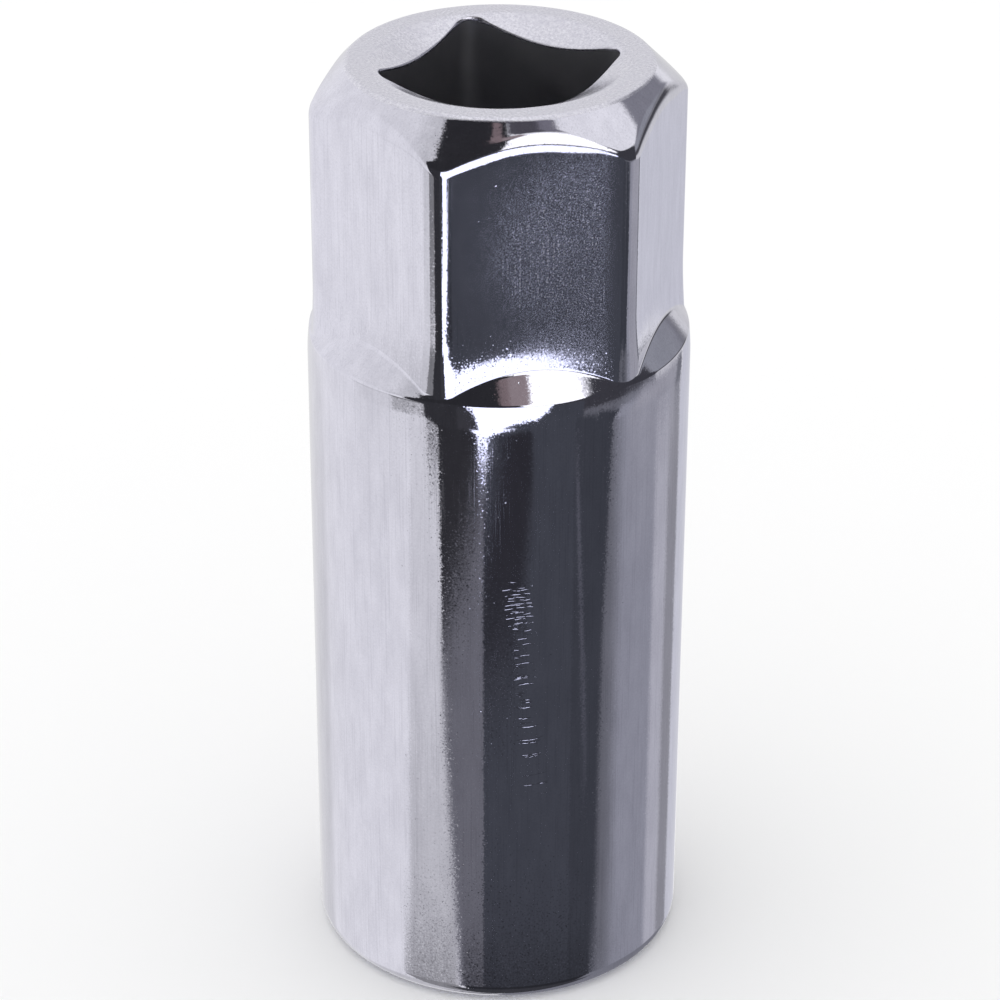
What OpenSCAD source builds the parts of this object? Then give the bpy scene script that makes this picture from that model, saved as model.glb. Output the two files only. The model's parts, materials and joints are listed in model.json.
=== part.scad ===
// Spark plug socket: a forged and chromed steel tube, round below and hexagonal above.
// The drive square opens in the top face and the plug hexagon in the mouth below.
// A rubber grip at the top of the cavity holds the plug by its insulator.

/* [Body] */
// Length from the mouth to the drive face
body_length = 70; // [66:1:90]
// Diameter of the round lower body
body_d = 27.5; // [27.2:0.1:32]
// Radius of the round on the lower outer edge
base_round = 1; // [0.3:0.1:1.2]
// Height of the shoulder's outer edge above the mouth
shoulder_height = 50; // [44:0.5:56]
// Angle of the shoulder cone from level
shoulder_slope = 48; // [30:1:65]
// Radius of the round on the shoulder's outer edge
shoulder_round = 1; // [0.3:0.1:2]

/* [Upper hexagon] */
// Width across the flats of the upper hexagon
hex_af = 23.7; // [22:0.1:24.2]
// Radius of the rounds along the upright edges
hex_round = 2; // [0.8:0.1:5]
// Turn of both hexagons from the drive square
hex_turn = 11.5; // [0:0.5:60]

/* [Drive face] */
// Diameter of the level drive face at its sharp edge
face_d = 21.2; // [20:0.1:22.5]
// Angle of the turned chamfer around the drive face from level
face_slope = 45; // [30:1:60]
// Radius of the round between the drive face and its chamfer
face_round = 0.7; // [0.2:0.1:1.4]

/* [Drive square] */
// Width across the flats of the drive square
drive_af = 12.9; // [12.7:0.05:13.2]
// Radius of the rounds in the corners of the drive square
drive_round = 1; // [0.4:0.1:1.4]
// Depth of the drive square below the drive face
drive_depth = 17; // [14:0.5:20]
// Diameter of the countersink around the drive square at its sharp edge
sink_d = 17.8; // [16.5:0.1:18.4]
// Angle of the countersink from level
sink_slope = 25; // [15:1:35]
// Radius of the round around the countersink's rim
sink_round = 1.6; // [0.2:0.1:2]
// Diameter of the detent dimple in each wall of the drive square
dimple_d = 5.4; // [4:0.1:6.5]
// Depth of a detent dimple
dimple_depth = 1; // [0.4:0.1:1.4]
// Distance from the drive face down to the middle of a dimple
dimple_drop = 7.5; // [6:0.1:9]

/* [Plug cavity] */
// Width across the flats of the plug hexagon
plug_af = 21.15; // [20.9:0.05:21.4]
// Radius of the rounds in the corners of the plug hexagon
plug_round = 0.6; // [0.3:0.1:1.5]
// Depth of the plug hexagon above the mouth
plug_depth = 24; // [16:0.5:28]
// Diameter of the lead-in cone at the mouth
mouth_d = 24.6; // [23.6:0.1:24.8]
// Angle of the lead-in cone from level
mouth_slope = 45; // [30:1:65]
// Diameter of the round bore above the plug hexagon
bore_d = 20; // [19:0.1:20.8]
// Thickness of the web between the bore and the drive square
web_t = 4; // [3:0.5:6]
// Diameter of the hole through the web
web_hole_d = 11; // [9:0.1:12.4]

/* [Rubber grip] */
// Length of the rubber grip
grip_length = 16; // [12:0.5:18]
// Diameter of the hole that grips the insulator
grip_hole_d = 10.2; // [9:0.1:11]
// Diameter of the funnel at the lower end of the hole
funnel_d = 16; // [12:0.1:17]
// Depth of the funnel
funnel_depth = 4; // [2:0.5:5]
// Width of the bead around the grip and of the groove that holds it
bead_width = 4; // [2:0.5:6]
// Depth of the groove in the bore
groove_depth = 0.9; // [0.5:0.1:1.4]
// Gap between the grip and the wall around it
grip_gap = 0.05; // [0.02:0.01:0.15]

/* [Hidden] */
$fn = 96;
body_r = body_d / 2;
face_r = face_d / 2;
sink_r = sink_d / 2;
bore_r = bore_d / 2;
mouth_r = mouth_d / 2;
cut_margin = 1;
// How far a round's circle passes outside the faces that it blends, so that it crosses them cleanly
round_overlap = 0.004;
drive_floor = body_length - drive_depth;
bore_top = drive_floor - web_t;
hex_bottom = shoulder_height - 2 * shoulder_round;
grip_bottom = bore_top - grip_length;
bead_bottom = bore_top - (grip_length + bead_width) / 2;
bead_top = bead_bottom + bead_width;
chrome_colour = [0.79, 0.79, 0.82];
rubber_colour = [0.10, 0.10, 0.11];

// Cutter that rounds a corner of an outline to radius r. The outline runs anticlockwise,
// reaches the corner along angle from and turns left there by angle turn.
module edge_round(corner, from, turn, r) {
    reach = r * tan(turn / 2);
    translate(corner)
        rotate(from)
            difference() {
                polygon([
                    [-reach, r],
                    [-reach, -r],
                    [reach, -r],
                    [2 * r * sin(turn) - reach, r - 2 * r * cos(turn)]
                ]);
                translate([-reach, r])
                    circle(r + round_overlap);
            }
}

// Regular polygon with rounded corners, one flat facing +X.
module rounded_polygon(sides, af, round) {
    step = 360 / sides;
    corner = af / 2 / cos(step / 2);
    difference() {
        rotate(step / 2)
            circle(corner, $fn = sides);
        for (i = [0 : sides - 1])
            rotate((i + 0.5) * step)
                edge_round([corner, 0], 90 - step / 2, step, round);
    }
}

// Half section of the round lower body with the shoulder cone that runs up inside the hexagon.
module lower_section() {
    cone_r = hex_af / 2 - hex_round;
    cone_z = shoulder_height + (body_r - cone_r) * tan(shoulder_slope);
    difference() {
        polygon([
            [0, 0],
            [body_r, 0],
            [body_r, shoulder_height],
            [cone_r, cone_z],
            [0, cone_z]
        ]);
        edge_round([body_r, 0], 0, 90, base_round);
        edge_round([body_r, shoulder_height], 90, 90 - shoulder_slope, shoulder_round);
    }
}

// Half section of the bar that the hexagon is formed on, turned to the chamfered and dished drive end.
module upper_section() {
    difference() {
        polygon([
            [0, hex_bottom],
            [body_r, hex_bottom],
            [body_r, body_length - (body_r - face_r) * tan(face_slope)],
            [face_r, body_length],
            [sink_r, body_length],
            [0, body_length - sink_r * tan(sink_slope)]
        ]);
        edge_round([face_r, body_length], 180 - face_slope, face_slope, face_round);
        edge_round([sink_r, body_length], 180, sink_slope, sink_round);
    }
}

// Half section of what the mouth's lead-in, the bore, its groove and the web hole take away.
module bore_section() {
    polygon([
        [0, -cut_margin],
        [mouth_r, -cut_margin],
        [mouth_r, 0],
        [0, mouth_r * tan(mouth_slope)]
    ]);
    polygon([
        [0, plug_depth - cut_margin],
        [bore_r, plug_depth - cut_margin],
        [bore_r, bead_bottom],
        [bore_r + groove_depth, bead_bottom],
        [bore_r + groove_depth, bead_top],
        [bore_r, bead_top],
        [bore_r, bore_top],
        [web_hole_d / 2, bore_top],
        [web_hole_d / 2, drive_floor + cut_margin],
        [0, drive_floor + cut_margin]
    ]);
}

// Balls that leave one detent dimple in each wall of the drive square.
module dimples() {
    ball_r = (pow(dimple_d / 2, 2) + pow(dimple_depth, 2)) / (2 * dimple_depth);
    for (i = [0 : 3])
        rotate(i * 90)
            translate([drive_af / 2 + dimple_depth - ball_r, 0, body_length - dimple_drop])
                sphere(ball_r);
}

// One piece of steel: round body, shoulder, hexagon and every opening cut into it.
module socket_body() {
    color(chrome_colour)
        difference() {
            union() {
                rotate_extrude()
                    lower_section();
                intersection() {
                    translate([0, 0, hex_bottom])
                        rotate(hex_turn)
                            linear_extrude(body_length - hex_bottom + cut_margin)
                                rounded_polygon(6, hex_af, hex_round);
                    rotate_extrude()
                        upper_section();
                }
            }
            translate([0, 0, drive_floor])
                linear_extrude(drive_depth + cut_margin)
                    rounded_polygon(4, drive_af, drive_round);
            dimples();
            translate([0, 0, -cut_margin])
                rotate(hex_turn)
                    linear_extrude(plug_depth + cut_margin)
                        rounded_polygon(6, plug_af, plug_round);
            rotate_extrude()
                bore_section();
        }
}

// Rubber sleeve against the web, held by its bead in the groove of the bore.
module rubber_grip() {
    outer_r = bore_r - grip_gap;
    bead_r = outer_r + groove_depth;
    color(rubber_colour)
        rotate_extrude()
            polygon([
                [funnel_d / 2, grip_bottom],
                [outer_r, grip_bottom],
                [outer_r, bead_bottom],
                [bead_r, bead_bottom],
                [bead_r, bead_top],
                [outer_r, bead_top],
                [outer_r, bore_top],
                [grip_hole_d / 2, bore_top],
                [grip_hole_d / 2, grip_bottom + funnel_depth]
            ]);
}

socket_body();
rubber_grip();
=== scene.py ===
import json
import bpy
import numpy as np
from mathutils import Matrix

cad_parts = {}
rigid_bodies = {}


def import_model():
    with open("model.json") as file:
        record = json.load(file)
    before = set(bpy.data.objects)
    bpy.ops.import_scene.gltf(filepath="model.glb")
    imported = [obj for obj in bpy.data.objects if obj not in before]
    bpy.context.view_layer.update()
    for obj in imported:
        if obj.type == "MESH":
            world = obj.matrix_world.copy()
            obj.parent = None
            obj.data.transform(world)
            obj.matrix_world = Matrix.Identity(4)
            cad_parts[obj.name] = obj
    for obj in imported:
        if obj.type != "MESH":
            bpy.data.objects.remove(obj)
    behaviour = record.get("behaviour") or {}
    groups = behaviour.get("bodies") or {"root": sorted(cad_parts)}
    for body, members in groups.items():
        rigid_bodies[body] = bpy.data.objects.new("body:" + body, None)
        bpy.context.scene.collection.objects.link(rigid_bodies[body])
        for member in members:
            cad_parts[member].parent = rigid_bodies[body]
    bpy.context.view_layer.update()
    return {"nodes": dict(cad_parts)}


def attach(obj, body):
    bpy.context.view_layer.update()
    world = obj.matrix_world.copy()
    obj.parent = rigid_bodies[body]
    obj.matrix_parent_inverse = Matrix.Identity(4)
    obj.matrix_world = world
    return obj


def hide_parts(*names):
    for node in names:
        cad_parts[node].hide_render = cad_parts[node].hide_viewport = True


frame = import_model()
print("frame loaded:", sorted(frame["nodes"]))

mm = 0.001  # every size below is in millimetres, every mesh in metres
tiny = 1e-9  # keeps a division safe
viewAngle = np.radians(-60.1)  # direction from the socket's axis to the camera, in the XY plane


# sRGB hex code to a linear colour: (c / 12.92) below 0.04045, ((c + 0.055) / 1.055) ^ 2.4 above
def linearColour(code):
    c = np.array([int(code[i:i + 2], 16) for i in (1, 3, 5)]) / 255
    c = np.where(c < 0.04045, c / 12.92, ((c + 0.055) / 1.055) ** 2.4)
    return (*c.tolist(), 1.0)


# adds one node, sets its properties, and fills its inputs with values or links
def addNode(tree, kind, settings=None, inputs=None):
    node = tree.nodes.new(kind)
    for key, value in (settings or {}).items():
        setattr(node, key, value)
    for key, value in (inputs or {}).items():
        if isinstance(value, bpy.types.NodeSocket):
            tree.links.new(value, node.inputs[key])
        else:
            node.inputs[key].default_value = value
    return node


# the two inputs that bound one side of a range, "From" or "To"
def rangeEnds(side, ends):
    return {side + " Min": ends[0], side + " Max": ends[1]}


# empty node material with its output node
def newMaterial(name):
    material = bpy.data.materials.new(name)
    material.use_nodes = True
    material.node_tree.nodes.clear()
    return material, material.node_tree, addNode(material.node_tree, "ShaderNodeOutputMaterial")


# mesh from a grid of points (rows, columns, 3): quad (i, j) joins rows i, i + 1 and columns j, j + 1,
# wrapping round where a direction is closed; faceSlots gives one material slot for each row of quads
def gridMesh(name, points, closeRows, closeColumns, materials, faceSlots=None):
    rows, columns = points.shape[:2]
    i = np.arange(rows if closeRows else rows - 1)[:, None]
    j = np.arange(columns if closeColumns else columns - 1)[None, :]
    a = i * columns + j
    b = i * columns + (j + 1) % columns
    c = (i + 1) % rows * columns + (j + 1) % columns
    d = (i + 1) % rows * columns + j
    quads = np.stack([a, b, c, d], -1).reshape(-1, 4)
    mesh = bpy.data.meshes.new(name)
    mesh.from_pydata(points.reshape(-1, 3) * mm, [], quads)
    for material in materials:
        mesh.materials.append(material)
    mesh.polygons.foreach_set("use_smooth", np.ones(len(quads), bool))
    if faceSlots is not None:
        mesh.polygons.foreach_set("material_index", np.repeat(faceSlots, j.size).astype(np.int32))
    mesh.validate()
    mesh.update()
    piece = bpy.data.objects.new(name, mesh)
    bpy.context.scene.collection.objects.link(piece)
    return piece


# smooth step from 0 at low to 1 at high: t^2 (3 - 2 t), with t the clipped share of the way
def smoothStep(value, low, high):
    t = np.clip((value - low) / (high - low), 0, 1)
    return t * t * (3 - 2 * t)


# polar radius of a regular polygon with rounded corners: apothem / cos(u) along a flat, and past the flat's
# end the outer crossing of the ray with the corner's circle; u is the angle from the flat's middle
def polygonRadius(theta, sides, acrossFlats, cornerRound, turn):
    step = 2 * np.pi / sides
    apothem = acrossFlats / 2
    u = np.abs((theta - turn + step / 2) % step - step / 2)
    centre = (apothem - cornerRound) / np.cos(step / 2)
    off = step / 2 - u
    chord = np.maximum(cornerRound ** 2 - (centre * np.sin(off)) ** 2, 0)
    onFlat = apothem * np.tan(u) <= (apothem - cornerRound) * np.tan(step / 2)
    return np.where(onFlat, apothem / np.cos(u), centre * np.cos(off) + np.sqrt(chord))


# closed half section carried round the axis: each corner (r, z, edge radius, arc rows; the first r is one
# number per angle) is replaced by an arc of its radius; where the two arcs on a side are longer than arcShare
# of it, both shrink by the same share; a row beside each arc, holdGap off it, keeps the straight stretch flat
def roundedSection(corners, extraRows):
    arcShare, holdGap, holdMost = 0.92, 0.08, 0.25
    radii, heights, rounds, arcRows = zip(*corners)
    shape = radii[0].shape
    p = np.stack([np.stack([np.broadcast_to(c, shape) for c in column]) for column in (radii, heights)], -1)
    into = p - np.roll(p, 1, 0)
    lengthIn = np.linalg.norm(into, axis=-1)
    into = into / lengthIn[..., None]
    lengthOut = np.roll(lengthIn, -1, 0)
    out = np.roll(into, -1, 0)
    turn = np.arctan2(into[..., 0] * out[..., 1] - into[..., 1] * out[..., 0], (into * out).sum(-1))
    half = np.tan(np.abs(turn) / 2) + tiny
    wish = np.stack([np.broadcast_to(r, shape) for r in rounds]) * half
    fit = np.minimum(1, arcShare * lengthOut / (wish + np.roll(wish, -1, 0)))
    reach = wish * np.minimum(fit, np.roll(fit, 1, 0))
    radius = reach / half
    left = np.stack([-into[..., 1], into[..., 0]], -1) * np.sign(turn)[..., None]
    # a row's label is its corner's number on an arc, and half more on the side after it
    rows, labels = [], []
    for k in range(len(p)):
        a = np.linspace(0, 1, arcRows[k])[:, None] * np.abs(turn[k])
        start = p[k] - reach[k][:, None] * into[k]
        ahead, aside = radius[k] * np.sin(a), radius[k] * (1 - np.cos(a))
        rows.append(start + ahead[..., None] * into[k] + aside[..., None] * left[k])
        labels += [k] * arcRows[k]
        n = (k + 1) % len(p)
        begin = p[k] + reach[k][:, None] * out[k]
        finish = p[n] - reach[n][:, None] * into[n]
        span = np.linalg.norm(finish - begin, axis=-1)
        hold = np.minimum(holdGap, holdMost * span) / np.maximum(span, tiny)
        inner = np.linspace(0, 1, extraRows.get(k, 0) + 2)[:, None]
        share = hold + inner * (1 - 2 * hold)
        rows.append(begin + share[..., None] * (finish - begin))
        labels += [k + 0.5] * len(inner)
    return np.concatenate(rows), np.array(labels)


# turns a section (rows, angles, 2) into points: x = r cos(theta), y = r sin(theta)
def spun(section, theta):
    return np.stack([section[..., 0] * np.cos(theta), section[..., 0] * np.sin(theta), section[..., 1]], -1)


# polished chrome plate over forged steel: a bluish mirror with the polishing belt's upright lines, a fine
# grain of the plating that breaks up the edges of what it mirrors, single pits, a dull patch on one flat and
# rubbed marks on one side; grain and scratches are drawn about two pixels wide, or they would not show
chromeLook = {
    "colour": "#E0DFEB", "dim": "#CCCBD7", "roughness": 0.045,
    "lineWidth": 0.11, "lineLength": 9.0, "lineDepth": 0.0001, "lineRange": (0.52, 0.70),  # belt lines
    "lineHaze": (0.075, 0.015), "linePatch": (0.38, 0.60), "lineShade": 0.45,
    "grainSize": 0.14, "grainTilt": (0.6, 1.2), "grainPatch": (0.36, 0.62), "patchSize": 5.5,  # grain
    "speckRange": (0.3, 0.7), "speckShade": 0.35,
    "stainSize": 1.2, "stainDraw": 0.3, "stainRange": (0.32, 0.68), "stainShade": 0.55,  # soft upright stains
    "pitSpacing": 1.4, "pitShare": 0.35, "pitDepth": 0.006, "pitCore": (0.01, 0.065),
    "dullPlace": (10.85, -6.22, 60.5), "dullReach": 11.0, "dullCore": 0.4, "dullHaze": 0.25,  # dull patch
    "dullAcross": (0.749, 0.663, 0), "dullEdge": (4.4, 6.2),
    "dustSize": 0.085, "dustRange": (0.35, 0.75), "dustLeast": 0.12,
    "rubPlace": (8.6, -10.73, 27.0), "rubLean": 0.09, "rubAside": (0.25, 1.25),  # column of rubbed marks
    "rubLow": (-12.0, 6.0), "rubHigh": (8.5, 9.5), "rubBehind": -4.0, "rubShare": 0.95,
    "rubTilts": (0.16, 0.03, -0.07), "rubCell": (1.9, 60, 0.115), "rubCore": (0.05, 0.34),
    "rubDepth": 0.0038,
}


# chrome: roughness = base + dull patch + haze in the belt lines; colour = two tones mixed by lines, stains
# and specks; normal = belt lines, leant by the grain, then dented by the pits and the scratches
def makeChrome(look):
    material, tree, output = newMaterial("polishedChrome")
    place = addNode(tree, "ShaderNodeTexCoord").outputs["Object"]
    smooth = {"interpolation_type": "SMOOTHSTEP"}
    falling = rangeEnds("To", (1.0, 0.0))
    patches = addNode(tree, "ShaderNodeTexNoise", None, {
        "Vector": place, "Scale": 1 / (look["patchSize"] * mm), "Detail": 1.5})
    grain = addNode(tree, "ShaderNodeTexNoise", None, {
        "Vector": place, "Scale": 1 / (look["grainSize"] * mm), "Detail": 1.0, "Roughness": 0.6})
    # dull patch: dusty haze that fades with the distance from its place, and towards one edge of the flat
    fromDull = addNode(tree, "ShaderNodeVectorMath", {"operation": "DISTANCE"}, {
        0: place, 1: tuple(c * mm for c in look["dullPlace"])})
    reach = look["dullReach"] * mm
    dullWhere = addNode(tree, "ShaderNodeMapRange", smooth, {
        "Value": fromDull.outputs["Value"], **rangeEnds("From", (look["dullCore"] * reach, reach)),
        **rangeEnds("To", (look["dullHaze"], 0.0))})
    dust = addNode(tree, "ShaderNodeTexNoise", None, {
        "Vector": place, "Scale": 1 / (look["dustSize"] * mm), "Detail": 2.0, "Roughness": 0.7})
    dusty = addNode(tree, "ShaderNodeMapRange", smooth, {
        "Value": dust.outputs["Fac"], **rangeEnds("From", look["dustRange"]),
        **rangeEnds("To", (look["dustLeast"], 1.0))})
    alongFlat = addNode(tree, "ShaderNodeVectorMath", {"operation": "DOT_PRODUCT"}, {
        0: place, 1: look["dullAcross"]})
    offEdge = addNode(tree, "ShaderNodeMapRange", smooth, {
        "Value": alongFlat.outputs["Value"], **rangeEnds("From", [c * mm for c in look["dullEdge"]]),
        **falling})
    dullHere = addNode(tree, "ShaderNodeMath", {"operation": "MULTIPLY"}, {
        0: dullWhere.outputs[0], 1: offEdge.outputs[0]})
    dull = addNode(tree, "ShaderNodeMath", {"operation": "MULTIPLY_ADD"}, {
        0: dullHere.outputs[0], 1: dusty.outputs[0], 2: look["roughness"]})
    # belt lines: noise squeezed across the belt and drawn out along the axis, hazier where the patch
    # noise is low
    drawn = addNode(tree, "ShaderNodeMapping", None, {
        "Vector": place, "Scale": (1, 1, look["lineWidth"] / look["lineLength"])})
    lines = addNode(tree, "ShaderNodeTexNoise", None, {
        "Vector": drawn.outputs[0], "Scale": 1 / (look["lineWidth"] * mm), "Detail": 2.0, "Roughness": 0.6})
    lineBump = addNode(tree, "ShaderNodeBump", None, {
        "Height": lines.outputs["Fac"], "Strength": 1.0, "Distance": look["lineDepth"] * mm})
    line = addNode(tree, "ShaderNodeMapRange", smooth, {
        "Value": lines.outputs["Fac"], **rangeEnds("From", look["lineRange"])})
    lineWhere = addNode(tree, "ShaderNodeMapRange", smooth, {
        "Value": patches.outputs["Fac"], **rangeEnds("From", look["linePatch"]),
        **rangeEnds("To", look["lineHaze"])})
    haze = addNode(tree, "ShaderNodeMath", {"operation": "MULTIPLY_ADD"}, {
        0: line.outputs[0], 1: lineWhere.outputs[0], 2: dull.outputs[0]})
    # grain of the plating: the normal leans by a small random vector, cubed so that few grains lean far
    lean = addNode(tree, "ShaderNodeVectorMath", {"operation": "SUBTRACT"}, {
        0: grain.outputs["Color"], 1: (0.5, 0.5, 0.5)})
    size = addNode(tree, "ShaderNodeVectorMath", {"operation": "LENGTH"}, {0: lean.outputs[0]})
    grainWhere = addNode(tree, "ShaderNodeMapRange", smooth, {
        "Value": patches.outputs["Fac"], **rangeEnds("From", look["grainPatch"]),
        **rangeEnds("To", look["grainTilt"])})
    square = addNode(tree, "ShaderNodeMath", {"operation": "MULTIPLY"}, {
        0: size.outputs["Value"], 1: size.outputs["Value"]})
    tilt = addNode(tree, "ShaderNodeMath", {"operation": "MULTIPLY"}, {
        0: square.outputs[0], 1: grainWhere.outputs[0]})
    leaning = addNode(tree, "ShaderNodeVectorMath", {"operation": "SCALE"}, {
        0: lean.outputs[0], "Scale": tilt.outputs[0]})
    added = addNode(tree, "ShaderNodeVectorMath", {"operation": "ADD"}, {
        0: lineBump.outputs[0], 1: leaning.outputs[0]})
    grained = addNode(tree, "ShaderNodeVectorMath", {"operation": "NORMALIZE"}, {0: added.outputs[0]})
    # tone: dimmer in the belt lines, in soft upright stains and in single specks
    speck = addNode(tree, "ShaderNodeMapRange", None, {
        "Value": grain.outputs["Fac"], **rangeEnds("From", look["speckRange"])})
    drawnCloud = addNode(tree, "ShaderNodeMapping", None, {
        "Vector": place, "Scale": (1, 1, look["stainDraw"])})
    cloud = addNode(tree, "ShaderNodeTexNoise", None, {
        "Vector": drawnCloud.outputs[0], "Scale": 1 / (look["stainSize"] * mm),
        "Detail": 3.0, "Roughness": 0.6})
    stain = addNode(tree, "ShaderNodeMapRange", None, {
        "Value": cloud.outputs["Fac"], **rangeEnds("From", look["stainRange"]),
        **rangeEnds("To", (0.0, look["stainShade"]))})
    stained = addNode(tree, "ShaderNodeMath", {"operation": "MULTIPLY_ADD"}, {
        0: line.outputs[0], 1: look["lineShade"], 2: stain.outputs[0]})
    shade = addNode(tree, "ShaderNodeMath", {"operation": "MULTIPLY_ADD", "use_clamp": True}, {
        0: speck.outputs[0], 1: look["speckShade"], 2: stained.outputs[0]})
    tone = addNode(tree, "ShaderNodeMix", {"data_type": "RGBA"}, {
        "Factor": shade.outputs[0], "A": linearColour(look["colour"]), "B": linearColour(look["dim"])})
    # pits: the middle of some cells, about a tenth of a millimetre across
    cells = addNode(tree, "ShaderNodeTexVoronoi", {"feature": "F1"}, {
        "Vector": place, "Scale": 1 / (look["pitSpacing"] * mm)})
    draw = addNode(tree, "ShaderNodeSeparateColor", None, {0: cells.outputs["Color"]})
    chosen = addNode(tree, "ShaderNodeMath", {"operation": "LESS_THAN"}, {
        0: draw.outputs[0], 1: look["pitShare"]})
    near = addNode(tree, "ShaderNodeMapRange", smooth, {
        "Value": cells.outputs["Distance"], **rangeEnds("From", look["pitCore"]), **falling})
    pit = addNode(tree, "ShaderNodeMath", {"operation": "MULTIPLY"}, {
        0: near.outputs[0], 1: chosen.outputs[0]})
    pitBump = addNode(tree, "ShaderNodeBump", {"invert": True}, {
        "Height": pit.outputs[0], "Strength": 1.0, "Distance": look["pitDepth"] * mm,
        "Normal": grained.outputs[0]})
    # rubbed marks: a leaning upright column of short scratches, one in the middle of some flat cells;
    # the local axes are across the column, outward and up
    x, y, z = look["rubPlace"]
    turn = np.arctan2(y, x) - np.pi / 2
    placed = {"Vector": place, "Location": (x * mm, y * mm, z * mm)}
    column = addNode(tree, "ShaderNodeMapping", {"vector_type": "TEXTURE"}, {
        **placed, "Rotation": (0, look["rubLean"], turn), "Scale": (mm, mm, mm)})
    local = addNode(tree, "ShaderNodeSeparateXYZ", None, {0: column.outputs[0]})
    aside = addNode(tree, "ShaderNodeMath", {"operation": "ABSOLUTE"}, {0: local.outputs["X"]})
    band = addNode(tree, "ShaderNodeMapRange", smooth, {
        "Value": aside.outputs[0], **rangeEnds("From", look["rubAside"]), **falling})
    low = addNode(tree, "ShaderNodeMapRange", smooth, {
        "Value": local.outputs["Z"], **rangeEnds("From", look["rubLow"])})
    high = addNode(tree, "ShaderNodeMapRange", smooth, {
        "Value": local.outputs["Z"], **rangeEnds("From", look["rubHigh"]), **falling})
    front = addNode(tree, "ShaderNodeMath", {"operation": "GREATER_THAN"}, {
        0: local.outputs["Y"], 1: look["rubBehind"]})
    amount = band.outputs[0]
    for part in (low, high, front):
        less = addNode(tree, "ShaderNodeMath", {"operation": "MULTIPLY"}, {0: amount, 1: part.outputs[0]})
        amount = less.outputs[0]
    share = addNode(tree, "ShaderNodeMath", {"operation": "MULTIPLY"}, {0: amount, 1: look["rubShare"]})
    normal = pitBump.outputs[0]
    for slant in look["rubTilts"]:
        cell = addNode(tree, "ShaderNodeMapping", {"vector_type": "TEXTURE"}, {
            **placed, "Rotation": (0, slant, turn), "Scale": tuple(c * mm for c in look["rubCell"])})
        spots = addNode(tree, "ShaderNodeTexVoronoi", {"feature": "F1"}, {
            "Vector": cell.outputs[0], "Scale": 1.0})
        lot = addNode(tree, "ShaderNodeSeparateColor", None, {0: spots.outputs["Color"]})
        kept = addNode(tree, "ShaderNodeMath", {"operation": "LESS_THAN"}, {
            0: lot.outputs[0], 1: share.outputs[0]})
        core = addNode(tree, "ShaderNodeMapRange", smooth, {
            "Value": spots.outputs["Distance"], **rangeEnds("From", look["rubCore"]), **falling})
        scratch = addNode(tree, "ShaderNodeMath", {"operation": "MULTIPLY"}, {
            0: core.outputs[0], 1: kept.outputs[0]})
        dent = addNode(tree, "ShaderNodeBump", {"invert": True}, {
            "Height": scratch.outputs[0], "Strength": 1.0, "Distance": look["rubDepth"] * mm,
            "Normal": normal})
        normal = dent.outputs[0]
    shader = addNode(tree, "ShaderNodeBsdfPrincipled", None, {
        "Base Color": tone.outputs["Result"], "Metallic": 1.0, "Roughness": haze.outputs[0],
        "Normal": normal})
    tree.links.new(shader.outputs[0], output.inputs[0])
    return material


# satin drive face: chrome over a face that was only turned, so it scatters more and shows fine rings and
# grit; the rings are drawn two pixels apart, or they would not show
faceLook = {
    "light": "#E7E6EF", "dark": "#CBCAD6", "roughness": (0.18, 0.34),
    "cloudSize": 2.5, "cloudRange": (0.3, 0.7), "ringSpacing": 0.16, "ringDepth": 0.0012,
    "gritSize": 0.20, "gritDepth": 0.008, "gritRange": (0.32, 0.68),
}


# face: rings are noise over the distance from the axis; roughness follows a cloud, colour and bump the grit
def makeFaceChrome(look):
    material, tree, output = newMaterial("satinChrome")
    place = addNode(tree, "ShaderNodeTexCoord").outputs["Object"]
    level = addNode(tree, "ShaderNodeVectorMath", {"operation": "MULTIPLY"}, {0: place, 1: (1, 1, 0)})
    radius = addNode(tree, "ShaderNodeVectorMath", {"operation": "LENGTH"}, {0: level.outputs[0]})
    rings = addNode(tree, "ShaderNodeTexNoise", {"noise_dimensions": "1D"}, {
        "W": radius.outputs["Value"], "Scale": 1 / (look["ringSpacing"] * mm), "Detail": 2.0})
    ringBump = addNode(tree, "ShaderNodeBump", None, {
        "Height": rings.outputs["Fac"], "Strength": 1.0, "Distance": look["ringDepth"] * mm})
    grit = addNode(tree, "ShaderNodeTexNoise", None, {
        "Vector": place, "Scale": 1 / (look["gritSize"] * mm), "Detail": 3.0, "Roughness": 0.65})
    gritBump = addNode(tree, "ShaderNodeBump", None, {
        "Height": grit.outputs["Fac"], "Strength": 1.0, "Distance": look["gritDepth"] * mm,
        "Normal": ringBump.outputs[0]})
    cloud = addNode(tree, "ShaderNodeTexNoise", None, {
        "Vector": place, "Scale": 1 / (look["cloudSize"] * mm), "Detail": 3.0})
    rough = addNode(tree, "ShaderNodeMapRange", None, {
        "Value": cloud.outputs["Fac"], **rangeEnds("From", look["cloudRange"]),
        **rangeEnds("To", look["roughness"])})
    speck = addNode(tree, "ShaderNodeMapRange", None, {
        "Value": grit.outputs["Fac"], **rangeEnds("From", look["gritRange"])})
    tone = addNode(tree, "ShaderNodeMix", {"data_type": "RGBA"}, {
        "Factor": speck.outputs[0], "A": linearColour(look["dark"]), "B": linearColour(look["light"])})
    shader = addNode(tree, "ShaderNodeBsdfPrincipled", None, {
        "Base Color": tone.outputs["Result"], "Metallic": 1.0, "Roughness": rough.outputs[0],
        "Normal": gritBump.outputs[0]})
    tree.links.new(shader.outputs[0], output.inputs[0])
    return material


# broached steel inside, where the plating hardly reaches: dark grey, half matt, with broach lines along
# the axis
boreLook = {"light": "#BDBDC1", "dark": "#9C9CA2", "roughness": 0.42, "stainSize": 3,
            "lineWidth": 0.22, "lineLength": 14.0, "lineDepth": 0.004}


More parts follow.
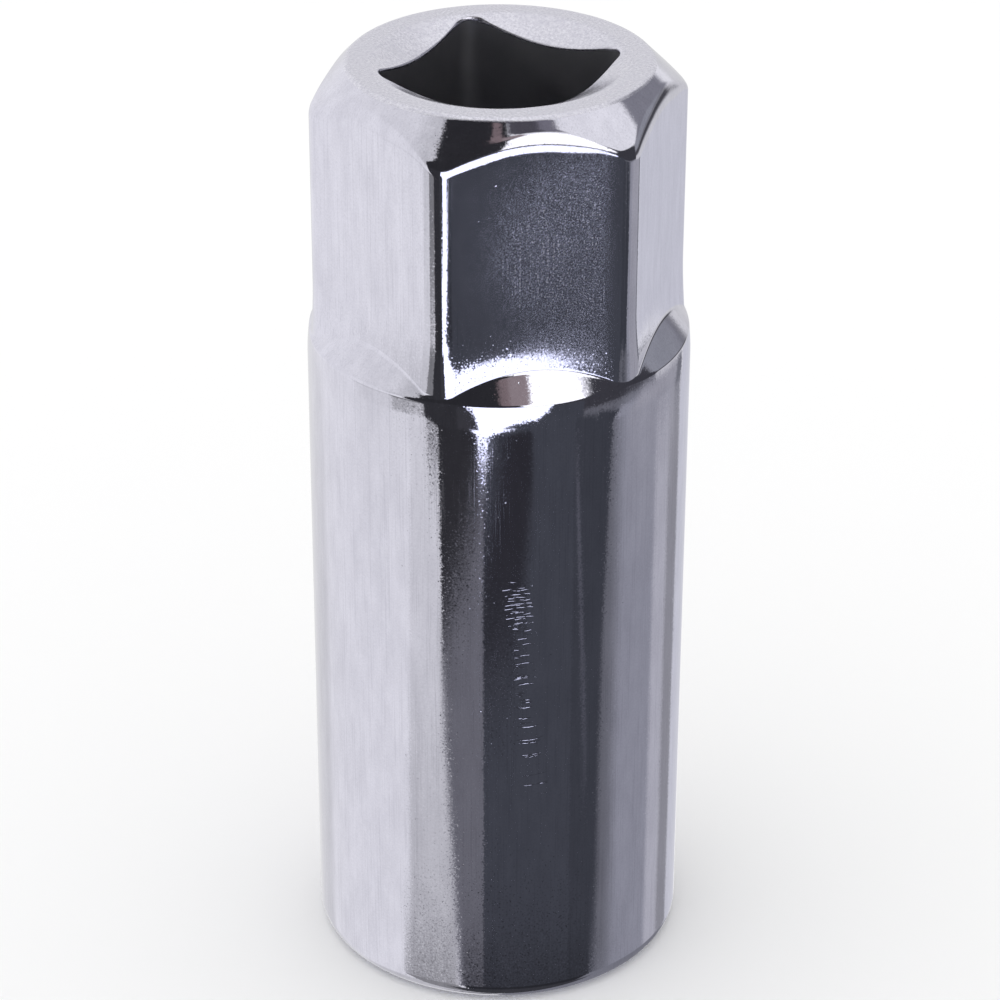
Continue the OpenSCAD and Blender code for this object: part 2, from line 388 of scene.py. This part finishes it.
# bore: bump from noise drawn out along the axis, colour from a soft stain
def makeBoreSteel(look):
    material, tree, output = newMaterial("broachedSteel")
    place = addNode(tree, "ShaderNodeTexCoord").outputs["Object"]
    drawn = addNode(tree, "ShaderNodeMapping", None, {
        "Vector": place, "Scale": (1, 1, look["lineWidth"] / look["lineLength"])})
    lines = addNode(tree, "ShaderNodeTexNoise", None, {
        "Vector": drawn.outputs[0], "Scale": 1 / (look["lineWidth"] * mm), "Detail": 3.0})
    bump = addNode(tree, "ShaderNodeBump", None, {
        "Height": lines.outputs["Fac"], "Strength": 1.0, "Distance": look["lineDepth"] * mm})
    stain = addNode(tree, "ShaderNodeTexNoise", None, {
        "Vector": place, "Scale": 1 / (look["stainSize"] * mm), "Detail": 4.0})
    tone = addNode(tree, "ShaderNodeMix", {"data_type": "RGBA"}, {
        "Factor": stain.outputs["Fac"], "A": linearColour(look["dark"]), "B": linearColour(look["light"])})
    shader = addNode(tree, "ShaderNodeBsdfPrincipled", None, {
        "Base Color": tone.outputs["Result"], "Metallic": 1.0, "Roughness": look["roughness"],
        "Normal": bump.outputs[0]})
    tree.links.new(shader.outputs[0], output.inputs[0])
    return material


# moulded black rubber: matt, with a faint grain from the mould and a paler bloom in places
rubberLook = {"colour": "#1E1E20", "bloom": "#2B2B2D", "bloomSize": 4, "roughness": 0.72,
              "grainSize": 0.3, "grainDepth": 0.012}


# rubber: bump from fine noise, colour from a coarse cloud
def makeRubber(look):
    material, tree, output = newMaterial("mouldedRubber")
    place = addNode(tree, "ShaderNodeTexCoord").outputs["Object"]
    grain = addNode(tree, "ShaderNodeTexNoise", None, {
        "Vector": place, "Scale": 1 / (look["grainSize"] * mm), "Detail": 2.0})
    bump = addNode(tree, "ShaderNodeBump", None, {
        "Height": grain.outputs["Fac"], "Strength": 1.0, "Distance": look["grainDepth"] * mm})
    cloud = addNode(tree, "ShaderNodeTexNoise", None, {
        "Vector": place, "Scale": 1 / (look["bloomSize"] * mm), "Detail": 3.0})
    tone = addNode(tree, "ShaderNodeMix", {"data_type": "RGBA"}, {
        "Factor": cloud.outputs["Fac"], "A": linearColour(look["colour"]), "B": linearColour(look["bloom"])})
    shader = addNode(tree, "ShaderNodeBsdfPrincipled", None, {
        "Base Color": tone.outputs["Result"], "Roughness": look["roughness"], "Normal": bump.outputs[0]})
    tree.links.new(shader.outputs[0], output.inputs[0])
    return material


chromePlate = makeChrome(chromeLook)
chromeFace = makeFaceChrome(faceLook)
dullBore = makeBoreSteel(boreLook)
gripRubber = makeRubber(rubberLook)
print("materials:", len(bpy.data.materials))

# socket body: the solid's sizes, with the softer edges that forging and polishing leave
bodySizes = {
    "angles": 590, "length": 70, "bodyRadius": 13.74, "baseRound": 1.7,
    "shoulderHeight": 50, "shoulderSlope": 48, "shoulderRound": 0.35,
    "rollHeight": 1.2, "rollDepth": 0.15, "rollRound": 15,  # the body's top edge, less rolled on one side
    "rollLess": 0.88, "rollLessFrom": (-150, -130), "rollLessTo": (-82, -74),
    "hexFlats": 23.7, "hexRound": 2.0, "hexTurn": 11.5,
    "crestRound": 2.0, "crestEnd": -0.65, "crestEndFrom": (0.4, 0.9),  # by the share of a half flat
    "crestLean": -0.55, "crestLeanFrom": (0.3, 0.75), "crestLeanTo": (0.85, 1.0),
    "flareHeight": 2.05, "flareGrowth": 0.48, "flareTilt": 5.3, "flareMost": 0.4,
    "flareRound": 40, "valleyRound": 0.6,
    "faceRadius": 10.6, "faceSlope": 45, "faceRound": 0.7,
    "sinkRadius": 8.9, "sinkSlope": 25, "sinkRound": 1.6,
    "driveFlats": 12.9, "driveRound": 1.4, "driveDepth": 17, "driveFloorRound": 0.4, "driveRows": 18,
    "driveEdge": 0.18, "driveEdgeCorner": 0.32, "driveEdgeFrom": (0.75, 0.95),
    "dimpleWidth": 5.4, "dimpleDepth": 1.0, "dimpleDrop": 7.5, "dimpleWall": 0.3,
    "webHole": 5.5, "webThickness": 4, "webTopRound": 0.2, "webLowRound": 0.1,
    "boreRadius": 10, "boreTopRound": 0.3, "boreLowRound": 0.12,
    "grooveDepth": 0.9, "grooveWidth": 4, "grooveRound": 0.08, "gripLength": 16,
    "plugFlats": 21.15, "plugRound": 0.6, "plugDepth": 24, "plugTopRound": 0.3,
    "mouthRadius": 12.3, "mouthSlope": 45, "mouthRound": 0.12,
}


# body surface over angle and section: below the shoulder the section is the same all round, above it the
# hexagon's polar radius sets where the flat starts and ends, and the drive and plug walls follow their
# polygons
def makeSocketBody(s):
    theta = np.arange(s["angles"]) * 2 * np.pi / s["angles"]
    slopes = ("shoulderSlope", "faceSlope", "sinkSlope", "mouthSlope", "flareTilt")
    rise = {key: np.tan(np.radians(s[key])) for key in slopes}
    top, base, turn = s["length"], s["bodyRadius"], np.radians(s["hexTurn"])
    hexR = polygonRadius(theta, 6, s["hexFlats"], s["hexRound"], turn)
    driveR = polygonRadius(theta, 4, s["driveFlats"], s["driveRound"], 0.0)
    plugR = polygonRadius(theta, 6, s["plugFlats"], s["plugRound"], turn)
    floorZ = top - s["driveDepth"]
    boreZ = floorZ - s["webThickness"]
    grooveLow = boreZ - (s["gripLength"] + s["grooveWidth"]) / 2
    grooveHigh = grooveLow + s["grooveWidth"]
    boreR, grooveR = s["boreRadius"], s["boreRadius"] + s["grooveDepth"]
    # the flat rolls over into the chamfer, tighter towards its ends and most at one of them
    sixth, quarter = np.pi / 3, np.pi / 2
    along = ((theta - turn + sixth / 2) % sixth - sixth / 2) / (sixth / 2)
    fromFlat = np.abs(along)
    lean = smoothStep(fromFlat, *s["crestLeanFrom"]) * (1 - smoothStep(fromFlat, *s["crestLeanTo"]))
    crestEnd = s["crestEnd"] * smoothStep(fromFlat, *s["crestEndFrom"])
    crestRound = s["crestRound"] + crestEnd + s["crestLean"] * (np.sign(along) * lean)
    # the wheel rolled the round body's top edge over, less so on one side
    bearing = (np.degrees(theta) + 180) % 360 - 180
    less = smoothStep(bearing, *s["rollLessFrom"]) * (1 - smoothStep(bearing, *s["rollLessTo"]))
    rollDepth = s["rollDepth"] * (1 - s["rollLess"] * less)
    # the drive square's edge is broken most at its corners
    toCorner = np.abs((theta + quarter / 2) % quarter - quarter / 2) / (quarter / 2)
    driveEdge = s["driveEdge"] + s["driveEdgeCorner"] * smoothStep(toCorner, *s["driveEdgeFrom"])
    # the flat ends on the chamfer cone above, and flares out before it meets the shoulder cone below
    arcTop = top - (hexR - s["faceRadius"]) * rise["faceSlope"]
    arcLow = s["shoulderHeight"] + (base - hexR) * rise["shoulderSlope"]
    flareTop = arcLow + s["flareHeight"] + s["flareGrowth"] * (arcLow.max() - arcLow)
    flareOut = np.minimum((flareTop - arcLow) * rise["flareTilt"], s["flareMost"] * (base - hexR))
    corners = [  # r, z, edge radius, arc rows
        (s["mouthRadius"] + 0 * theta, 0, s["mouthRound"], 3),
        (base, 0, s["baseRound"], 8),
        (base, s["shoulderHeight"] - s["rollHeight"], s["rollRound"], 9),
        (base - rollDepth, s["shoulderHeight"], s["shoulderRound"], 6),
        (hexR + flareOut, arcLow - flareOut * rise["shoulderSlope"], s["valleyRound"], 12),
        (hexR, flareTop, s["flareRound"], 10),
        (hexR, arcTop, crestRound, 14),
        (s["faceRadius"], top, s["faceRound"], 7),
        (s["sinkRadius"], top, s["sinkRound"], 5),
        (driveR, top - (s["sinkRadius"] - driveR) * rise["sinkSlope"], driveEdge, 7),
        (driveR, floorZ, s["driveFloorRound"], 3),
        (s["webHole"], floorZ, s["webTopRound"], 3),
        (s["webHole"], boreZ, s["webLowRound"], 2),
        (boreR, boreZ, s["boreTopRound"], 3),
        (boreR, grooveHigh, s["grooveRound"], 2),
        (grooveR, grooveHigh, s["grooveRound"], 2),
        (grooveR, grooveLow, s["grooveRound"], 2),
        (boreR, grooveLow, s["grooveRound"], 2),
        (boreR, s["plugDepth"], s["boreLowRound"], 3),
        (plugR, s["plugDepth"], s["plugTopRound"], 3),
        (plugR, (s["mouthRadius"] - plugR) * rise["mouthSlope"], s["mouthRound"], 3),
    ]
    faceCorner, driveCorner, leadCorner = 7, 9, 20  # where the satin face, the bore and the lead-in start
    section, labels = roundedSection(corners, {driveCorner: s["driveRows"]})
    points = spun(section, theta)
    # ball dimples: the wall moves out along its normal by sqrt(ball^2 - d^2) less the distance of the ball's
    # middle from the wall, with d the distance from the dimple's middle
    ball = ((s["dimpleWidth"] / 2) ** 2 + s["dimpleDepth"] ** 2) / (2 * s["dimpleDepth"])
    wall = labels == driveCorner + 0.5
    for side in range(4):
        normal = np.array([np.cos(side * quarter), np.sin(side * quarter)])
        across = points[wall][..., :2] @ np.array([-normal[1], normal[0]])
        onSide = (points[wall][..., :2] @ normal) > s["driveFlats"] / 2 - s["dimpleWall"]
        d2 = across ** 2 + (points[wall][..., 2] - (top - s["dimpleDrop"])) ** 2
        deep = np.sqrt(np.maximum(ball ** 2 - d2, 0)) - (ball - s["dimpleDepth"])
        points[wall, :, :2] += (np.maximum(deep, 0) * onSide)[..., None] * normal
    satin = (labels >= faceCorner) & (labels <= driveCorner)
    inside = (labels > driveCorner) & (labels < leadCorner)
    slots = np.where(satin, 1, np.where(inside, 2, 0))
    return gridMesh("socketBodySkin", points, True, True, [chromePlate, chromeFace, dullBore], slots)


bodySkin = makeSocketBody(bodySizes)
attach(bodySkin, "root")
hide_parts("socket_body")
print("socket body:", len(bodySkin.data.polygons), "quads")

# rubber grip: sleeve with a funnel below and a bead in the groove, edges as a mould leaves them
gripSizes = {
    "angles": 240, "bottom": 33, "top": 49, "outer": 9.95, "bead": 10.85, "beadLow": 39, "beadHigh": 43,
    "hole": 5.1, "funnel": 8.0, "funnelDepth": 4,
    "lowRound": 0.4, "topRound": 0.3, "beadRound": 0.3, "beadFoot": 0.05, "funnelRound": 0.8,
}


# grip surface: one closed section spun round the axis
def makeGrip(s):
    theta = np.arange(s["angles"]) * 2 * np.pi / s["angles"]
    corners = [  # r, z, edge radius, arc rows
        (s["funnel"] + 0 * theta, s["bottom"], s["lowRound"], 5),
        (s["outer"], s["bottom"], s["lowRound"], 5),
        (s["outer"], s["beadLow"], s["beadFoot"], 2),
        (s["bead"], s["beadLow"], s["beadRound"], 4),
        (s["bead"], s["beadHigh"], s["beadRound"], 4),
        (s["outer"], s["beadHigh"], s["beadFoot"], 2),
        (s["outer"], s["top"], s["topRound"], 4),
        (s["hole"], s["top"], s["topRound"], 4),
        (s["hole"], s["bottom"] + s["funnelDepth"], s["funnelRound"], 6),
    ]
    section = roundedSection(corners, {})[0]
    return gridMesh("rubberGripSkin", spun(section, theta), True, True, [gripRubber])


gripSkin = makeGrip(gripSizes)
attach(gripSkin, "root")
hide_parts("rubber_grip")
print("rubber grip:", len(gripSkin.data.polygons), "quads")

# studio: white floor and world, and round them a tent with dark and bright panels that only reflections see
studio = {
    "floorSize": 4000, "floorDrop": 0.02, "floorColour": "#F7F7F7", "worldLevel": 1.0,
    "sunLevel": 0.3, "sunSpread": 60, "sunTurn": (18, -14, 0),
    "tentRadius": 1500, "tentCentre": 35, "tentTop": 88, "tentStep": 1.0,
    "fineAzimuth": (-60, 75), "fineElevation": (-31, -15),  # where the mirrored edges are sharp
    "fineStep": 0.2, "fineStretch": 1.5,
}
# each panel: name, level, tint, edge softness in degrees, and corners as azimuth from the camera's side
# and elevation
panels = [
    ("underGrey", 0.22, "#F4F4FF", 10, [(40, -46), (200, -46), (200, -95), (40, -95)]),
    ("underLeft", 0.68, "#FFFFFF", 14, [(-200, -52), (-30, -52), (-30, -95), (-200, -95)]),
    ("leftLow", 0.94, "#FFFFFF", 8, [(-150, -25), (-50, -25), (-50, -50), (-150, -50)]),
    ("leftEdgeLow", 0.77, "#FFFFFF", 10, [(-165, -27), (-132, -27), (-132, -50), (-165, -50)]),
    ("farLeft", 0.82, "#FFFFFF", 26, [(-190, -75.6), (-152, -75.6), (-152, -0.6), (-190, -0.6)]),
    ("leftHigh", 0.90, "#FFFFFF", 28, [(-150, 23.4), (-50, 23.4), (-50, 80), (-150, 80)]),
    ("leftBright", 0.98, "#FFFFFF", 14, [(-150, -10.6), (-60, -10.6), (-60, 27.4), (-150, 27.4)]),
    ("leftNear", 0.70, "#FFFFFF", 20, [(-72, 15.4), (-40, 15.4), (-40, 80), (-72, 80)]),
    ("leftFlatEdge", 0.74, "#FFFFFF", 10, [(-94, -14), (-58, -14), (-58, -25), (-94, -25)]),
    ("leftStripEdge", 0.26, "#FFFFFF", 4, [(-66, -16), (-41, -16), (-41, -25.2), (-66, -25.2)]),
    ("paleStrip", 0.82, "#FFFFFF", 3,
     [(-54, -26.4), (-36, -26.4), (-26, -38.6), (-26, -88), (-57, -88), (-57, -34.6)]),
    ("paleStripLow", 0.68, "#FFFFFF", 5,
     [(-57, -32.6), (-30, -32.6), (-27.5, -38), (-27.5, -88), (-58, -88)]),
    ("standingDark", 0.045, "#F4F4FF", 3,
     [(-43, -27.1), (-12, -27.1), (-12, 51.4), (-56, 56.4), (-55, -8.6)]),
    ("standingDarkHigh", 0.035, "#F4F4FF", 4,
     [(-57.8, 25.4), (-14, 8.4), (14, 8.4), (18, 33.4), (14, 57.4), (4, 76.4), (-58.5, 76.4)]),
    ("lowDark", 0.04, "#F4F4FF", 1.5, [(-37.5, -24.6), (-8, -24.6), (-8, -31.5), (-34, -31.5)]),
    ("lowDarkGrey", 0.20, "#F4F4FF", 3, [(-36, -31.1), (-8, -28.1), (-8, -46.3)]),
    ("rightDark", 0.065, "#F0F0FF", 5,
     [(26, -26), (112, -26), (112, 9.4), (98, 36), (62, 42.4), (52, 34), (30, 5.4)]),
    ("rightGrey", 0.20, "#F2F4FF", 3, [(50, -17.5), (112, -17.5), (112, -80), (50, -80)]),
    ("rightGreyMid", 0.39, "#F2F4FF", 14, [(78, -20), (124, -20), (124, -80), (72, -80)]),
    ("rightPale", 0.58, "#F8F8FF", 5, [(109.5, -17.6), (126, -17.6), (126, -46), (109.5, -46)]),
    ("rightDim", 0.36, "#F8F8FF", 5, [(125, -25.5), (142, -25.5), (142, -46), (125, -46)]),
    ("rightStrip", 0.40, "#F2F4FF", 2, [(66, -22), (139, -20.5), (139, -26.4), (64, -26.4)]),
    ("rightStripMid", 0.46, "#F8F8FF", 8, [(90, -19), (132, -17), (132, -26.4), (84, -26.4)]),
    ("rightLine", 0.24, "#F2F4FF", 3, [(131, -20), (138.5, -20), (138.5, -26.4), (131, -26.4)]),
    ("rightWhite", 0.74, "#F6F7FF", 4, [(140.5, -11), (168, -11), (168, -44), (140.5, -44)]),
    ("rightCrest", 0.74, "#FFFFFF", 4, [(104, -18.6), (130, -20.5), (176, -20.5), (176, 1.4), (104, 1.4)]),
    ("rightShield", 0.30, "#F4F4FF", 6,
     [(102, 3.4), (146, 3.4), (146, 47), (117, 47), (108.5, 35), (102, 14)]),
    ("rightLeaf", 0.38, "#F4F7FF", 5, [(103, 7), (135, 7), (117, 23), (105, 25)]),
    ("rightEdge", 0.09, "#F4F4FF", 8, [(98, -8), (141, -8), (141, 4), (104, 5)]),
    ("frontWhite", 2.1, "#E6EAFF", 0.6, [(-12, -27.4), (31, -27.4), (31, 8), (-17, 8), (-19, -22.6)]),
    ("frontNotch", 0.06, "#F4F4FF", 1, [(-24, -23.8), (-11.5, -23.8), (-15, -12.5), (-24, -12.5)]),
    ("frontWhiteHigh", 1.7, "#FFFFFF", 3,
     [(15, 9.4), (33, 9.4), (46, 21.4), (57, 38), (58, 46.4), (42, 52.4), (25, 52.4), (14, 42)]),
    ("frontSeam", 0.10, "#F4F4FF", 2, [(-16, 7.4), (46, 7.4), (46, 11.9), (-16, 11.9)]),
    ("floorBlackTop", 0.085, "#E6EDFF", 1, [(24, -17.5), (33, -10), (50, -10), (50, -22), (24, -22)]),
    ("floorBlackRight", 0.074, "#E6EDFF", 6, [(32, -21), (57, -20), (67, -28.6), (58, -88), (32, -88)]),
    ("floorBlackCorner", 0.074, "#E6EDFF", 3,
     [(60, -20), (76, -22.5), (71.5, -27.8), (68, -30.5), (64, -33), (60, -33)]),
    ("floorBlack", 0.088, "#E6EDFF", 0.8,
     [(-9, -28.3), (4, -22), (12, -19.5), (26, -17.6), (46, -17.6), (46, -88), (-8.5, -88)]),
    ("floorBlackNear", 0.04, "#ECECFF", 3, [(-9, -29.2), (18, -24), (21, -28), (12, -31), (-9, -31.6)]),
    ("frontStripe", 2.1, "#E6EAFF", 0.8, [(-8, -27.2), (1.5, -22.9), (9.8, -22.9)]),
    ("rimLeft", 0.31, "#FFFFFF", 3, [(-62, -36.7), (-26, -36.7), (-26, -88), (-62, -88)]),
    ("rimFront", 0.035, "#ECF0FF", 3, [(-22, -37), (62, -37), (62, -88), (-22, -88)]),
    ("rimRight", 0.26, "#F2F4FF", 4, [(62, -37.4), (180, -40), (180, -88), (62, -88)]),
    ("nadirDark", 0.06, "#F2F4FF", 8, [(-36, -52), (74, -52), (74, -110), (-36, -110)]),
    ("nadirDarkBack", 0.12, "#F2F4FF", 8, [(-220, -77), (-105, -77), (-105, -110), (-220, -110)]),
    ("floorSeam", 0.15, "#ECEEFF", 1.2, [(46.6, -27.6), (48.4, -27.6), (57, -33), (55.2, -33)]),
    ("overheadRose", 0.25, "#FFE4E4", 4, [(-9, 69), (1, 69), (7, 60), (13, 46), (6, 44), (-5, 60)]),
    ("overheadRoseLow", 0.33, "#FFEAEA", 3, [(8, 56), (21, 56), (24, 51), (18, 45.5), (9, 45.5)]),
    ("zenithDark", 0.105, "#F4F0FF", 3, [(5, 71.4), (20, 57.5), (57, 54.5), (59, 60), (45, 75.4), (6, 84)]),
    ("zenithGrey", 0.24, "#F4F0FF", 8, [(43, 55), (58, 55), (58, 70), (43, 70)]),
    ("backDim", 0.84, "#FFFFFF", 20, [(150, 4), (220, 4), (220, 46), (150, 46)]),
    ("backDimLeft", 0.84, "#FFFFFF", 20, [(-220, 4), (-156, 4), (-156, 46), (-220, 46)]),
    ("zenithDarkLeft", 0.05, "#F4F4FF", 4, [(-58, 71.4), (6, 71.4), (6, 86), (-58, 86)]),
]


# share of a panel at a direction: the product over its sides of a smooth step across the side,
# from the signed distance of (azimuth, elevation) to that side
def panelShare(azimuth, elevation, corners, softness):
    c = np.array(corners, float)
    n = np.roll(c, -1, 0)
    turn = np.sign(np.sum(c[:, 0] * n[:, 1] - n[:, 0] * c[:, 1]))
    share = np.ones(np.broadcast(azimuth, elevation).shape)
    for (x0, y0), (x1, y1) in zip(c, n):
        length = np.hypot(x1 - x0, y1 - y0)
        inside = turn * ((x1 - x0) * (elevation - y0) - (y1 - y0) * (azimuth - x0)) / length
        share = share * smoothStep(inside, -softness / 2, softness / 2)
    return share


# tent: a sphere round the socket over azimuth and elevation, with the panels painted one over the other
def makeTent(s, panelList):
    step, fine, highest = s["tentStep"], s["fineStep"], s["tentTop"]
    coarseEl = np.arange(-highest, highest + step / 2, step)
    fineAz = np.arange(*s["fineAzimuth"], s["fineStretch"] * fine)
    az = np.unique(np.r_[np.arange(-180, 180, step), fineAz])[None, :]
    el = np.unique(np.r_[coarseEl, np.arange(*s["fineElevation"], fine)])[:, None]
    glow = np.ones(np.broadcast(az, el).shape + (3,))
    for _, level, tint, softness, corners in panelList:
        share = panelShare(az, el, corners, softness)[..., None]
        glow = glow * (1 - share) + level * np.array(linearColour(tint)[:3]) * share
    a, e, r = np.radians(az) + viewAngle, np.radians(el), s["tentRadius"]
    height = s["tentCentre"] + r * np.sin(e) + 0 * a
    points = np.stack([r * np.cos(e) * np.cos(a), r * np.cos(e) * np.sin(a), height], -1)
    material, tree, output = newMaterial("tentCloth")
    paint = addNode(tree, "ShaderNodeAttribute", {"attribute_name": "glow"})
    light = addNode(tree, "ShaderNodeEmission", None, {"Color": paint.outputs["Color"], "Strength": 1.0})
    tree.links.new(light.outputs[0], output.inputs[0])
    material.cycles.emission_sampling = "NONE"
    tent = gridMesh("tent", points, False, True, [material])
    layer = tent.data.attributes.new("glow", "FLOAT_COLOR", "POINT")
    layer.data.foreach_set("color", np.concatenate([glow, np.ones(glow.shape[:2] + (1,))], -1).ravel())
    tent.visible_camera = tent.visible_diffuse = tent.visible_transmission = tent.visible_shadow = False


makeTent(studio, panels)

# white paper floor: plain and matt, a hair below the mouth
floorMaterial, floorTree, floorOut = newMaterial("paperFloor")
floorShader = addNode(floorTree, "ShaderNodeBsdfDiffuse", None, {
    "Color": linearColour(studio["floorColour"])})
floorTree.links.new(floorShader.outputs[0], floorOut.inputs[0])
half = studio["floorSize"] / 2
floorGrid = np.stack(np.meshgrid([-half, half], [-half, half]), -1)
floorPoints = np.concatenate([floorGrid, np.full((2, 2, 1), -studio["floorDrop"])], -1)
floor = gridMesh("floor", floorPoints, False, False, [floorMaterial])
floor.visible_glossy = False  # reflections look through the floor to the tent's lower half

world = bpy.data.worlds.new("studioWorld")
bpy.context.scene.world = world
world.use_nodes = True
world.node_tree.nodes["Background"].inputs["Color"].default_value = (1, 1, 1, 1)
world.node_tree.nodes["Background"].inputs["Strength"].default_value = studio["worldLevel"]

sun = bpy.data.lights.new("softOverheadLight", "SUN")
sun.energy, sun.angle = studio["sunLevel"], np.radians(studio["sunSpread"])
sunLamp = bpy.data.objects.new("softOverheadLight", sun)
sunLamp.rotation_euler = np.radians(studio["sunTurn"]).tolist()
sunLamp.visible_glossy = False
bpy.context.scene.collection.objects.link(sunLamp)
print("studio:", len(panels), "panels")

# camera fitted to the photographed outline: the eye's place from the axis, and the way it is turned
photoView = {"lens": 128.595, "sensor": 36, "clip": (0.01, 10), "pitch": 28.745, "roll": -0.189,
             "outward": 230.18, "sideways": 0.101, "height": 161.61}
camera = bpy.data.cameras.new("photoCamera")
camera.lens, camera.sensor_width, camera.sensor_fit = photoView["lens"], photoView["sensor"], "HORIZONTAL"
camera.clip_start, camera.clip_end = photoView["clip"]
cameraObject = bpy.data.objects.new("photoCamera", camera)
bpy.context.scene.collection.objects.link(cameraObject)
pitch, roll = np.radians(photoView["pitch"]), np.radians(photoView["roll"])
outward = np.array([np.cos(viewAngle), np.sin(viewAngle), 0])
sideways = np.array([-np.sin(viewAngle), np.cos(viewAngle), 0])
forward = -np.cos(pitch) * outward - np.array([0, 0, np.sin(pitch)])
upward = np.cross(sideways, forward)
right = np.cos(roll) * sideways - np.sin(roll) * upward
upward = np.cross(right, forward)
eye = outward * photoView["outward"] + sideways * photoView["sideways"]
eye = eye + np.array([0, 0, photoView["height"]])
axes = np.eye(4)
axes[:3, 0], axes[:3, 1], axes[:3, 2], axes[:3, 3] = right, upward, -forward, eye * mm
cameraObject.matrix_world = Matrix(axes.tolist())
bpy.context.scene.camera = cameraObject
bpy.context.scene.view_settings.view_transform = "Standard"
